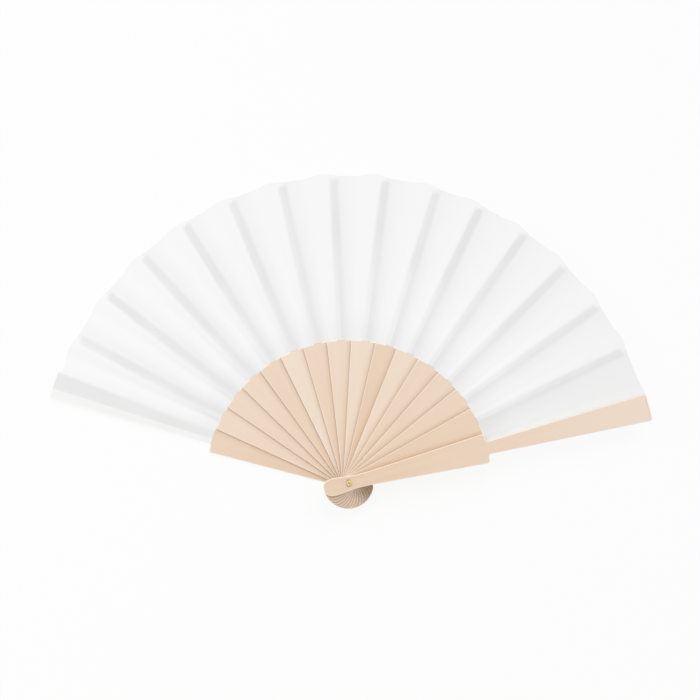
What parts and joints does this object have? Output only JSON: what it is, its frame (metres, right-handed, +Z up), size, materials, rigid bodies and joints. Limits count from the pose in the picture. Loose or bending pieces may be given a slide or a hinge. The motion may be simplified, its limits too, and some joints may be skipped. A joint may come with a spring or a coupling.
{
  "type": "folding hand fan",
  "caption": "Wooden folding hand fan lying open, with overlapping flared sticks turning on a brass rivet and a pleated white cloth leaf.",
  "frame": {"origin": "centre of the rivet's flat head, on the fan's resting face", "axes": "+Z up along the rivet, from the rear guard to the front guard; +Y from the rivet to the middle of the opened leaf; +X towards the front guard"},
  "size_m": [0.4112, 0.2285, 0.02],
  "materials": {
    "wood": "bare fine-grained pale birch, sanded, matt",
    "leaf": "thin white woven polyester, slightly see-through, pressed pleats",
    "brass": "bright plated, rolled edge"
  },
  "bodies": {
    "rear_guard": {"rear_guard": "wood", "leaf_00": "leaf", "rivet": "brass", "washer": "brass"},
    "rib_01": {"rib_01": "wood", "leaf_01": "leaf"},
    "rib_02": {"rib_02": "wood", "leaf_02": "leaf"},
    "rib_03": {"rib_03": "wood", "leaf_03": "leaf"},
    "rib_04": {"rib_04": "wood", "leaf_04": "leaf"},
    "rib_05": {"rib_05": "wood", "leaf_05": "leaf"},
    "rib_06": {"rib_06": "wood", "leaf_06": "leaf"},
    "rib_07": {"rib_07": "wood", "leaf_07": "leaf"},
    "rib_08": {"rib_08": "wood", "leaf_08": "leaf"},
    "rib_09": {"rib_09": "wood", "leaf_09": "leaf"},
    "rib_10": {"rib_10": "wood", "leaf_10": "leaf"},
    "rib_11": {"rib_11": "wood", "leaf_11": "leaf"},
    "rib_12": {"rib_12": "wood", "leaf_12": "leaf"},
    "rib_13": {"rib_13": "wood", "leaf_13": "leaf"},
    "rib_14": {"rib_14": "wood", "leaf_14": "leaf"},
    "front_guard": {"front_guard": "wood", "leaf_15": "leaf"}
  },
  "joints": [
    {"name": "fold_01", "type": "hinge", "parent": "rear_guard", "child": "rib_01", "pos_m": [0, 0, 0.0023], "axis": [0, 0, 1], "range_deg": [0, 9.83]},
    {"name": "fold_02", "type": "hinge", "parent": "rib_01", "child": "rib_02", "pos_m": [0, 0, 0.0033], "axis": [0, 0, 1], "range_deg": [0, 9.83]},
    {"name": "fold_03", "type": "hinge", "parent": "rib_02", "child": "rib_03", "pos_m": [0, 0, 0.0043], "axis": [0, 0, 1], "range_deg": [0, 9.83]},
    {"name": "fold_04", "type": "hinge", "parent": "rib_03", "child": "rib_04", "pos_m": [0, 0, 0.0053], "axis": [0, 0, 1], "range_deg": [0, 9.83]},
    {"name": "fold_05", "type": "hinge", "parent": "rib_04", "child": "rib_05", "pos_m": [0, 0, 0.0063], "axis": [0, 0, 1], "range_deg": [0, 9.83]},
    {"name": "fold_06", "type": "hinge", "parent": "rib_05", "child": "rib_06", "pos_m": [0, 0, 0.0073], "axis": [0, 0, 1], "range_deg": [0, 9.83]},
    {"name": "fold_07", "type": "hinge", "parent": "rib_06", "child": "rib_07", "pos_m": [0, 0, 0.0083], "axis": [0, 0, 1], "range_deg": [0, 9.83]},
    {"name": "fold_08", "type": "hinge", "parent": "rib_07", "child": "rib_08", "pos_m": [0, 0, 0.0093], "axis": [0, 0, 1], "range_deg": [0, 9.83]},
    {"name": "fold_09", "type": "hinge", "parent": "rib_08", "child": "rib_09", "pos_m": [0, 0, 0.0103], "axis": [0, 0, 1], "range_deg": [0, 9.83]},
    {"name": "fold_10", "type": "hinge", "parent": "rib_09", "child": "rib_10", "pos_m": [0, 0, 0.0113], "axis": [0, 0, 1], "range_deg": [0, 8.75]},
    {"name": "fold_11", "type": "hinge", "parent": "rib_10", "child": "rib_11", "pos_m": [0, 0, 0.0123], "axis": [0, 0, 1], "range_deg": [0, 9.71]},
    {"name": "fold_12", "type": "hinge", "parent": "rib_11", "child": "rib_12", "pos_m": [0, 0, 0.0133], "axis": [0, 0, 1], "range_deg": [0, 9.71]},
    {"name": "fold_13", "type": "hinge", "parent": "rib_12", "child": "rib_13", "pos_m": [0, 0, 0.0143], "axis": [0, 0, 1], "range_deg": [0, 9.71]},
    {"name": "fold_14", "type": "hinge", "parent": "rib_13", "child": "rib_14", "pos_m": [0, 0, 0.0153], "axis": [0, 0, 1], "range_deg": [0, 9.71]},
    {"name": "fold_15", "type": "hinge", "parent": "rib_14", "child": "front_guard", "pos_m": [0, 0, 0.0163], "axis": [0, 0, 1], "range_deg": [0, 11.39]}
  ],
  "couplings": [
    {"joint": "fold_02", "follows": "fold_01", "ratio": 1},
    {"joint": "fold_03", "follows": "fold_01", "ratio": 1},
    {"joint": "fold_04", "follows": "fold_01", "ratio": 1},
    {"joint": "fold_05", "follows": "fold_01", "ratio": 1},
    {"joint": "fold_06", "follows": "fold_01", "ratio": 1},
    {"joint": "fold_07", "follows": "fold_01", "ratio": 1},
    {"joint": "fold_08", "follows": "fold_01", "ratio": 1},
    {"joint": "fold_09", "follows": "fold_01", "ratio": 1},
    {"joint": "fold_10", "follows": "fold_01", "ratio": 0.8901},
    {"joint": "fold_11", "follows": "fold_01", "ratio": 0.9877},
    {"joint": "fold_12", "follows": "fold_01", "ratio": 0.9877},
    {"joint": "fold_13", "follows": "fold_01", "ratio": 0.9877},
    {"joint": "fold_14", "follows": "fold_01", "ratio": 0.9877},
    {"joint": "fold_15", "follows": "fold_01", "ratio": 1.1586}
  ]
}
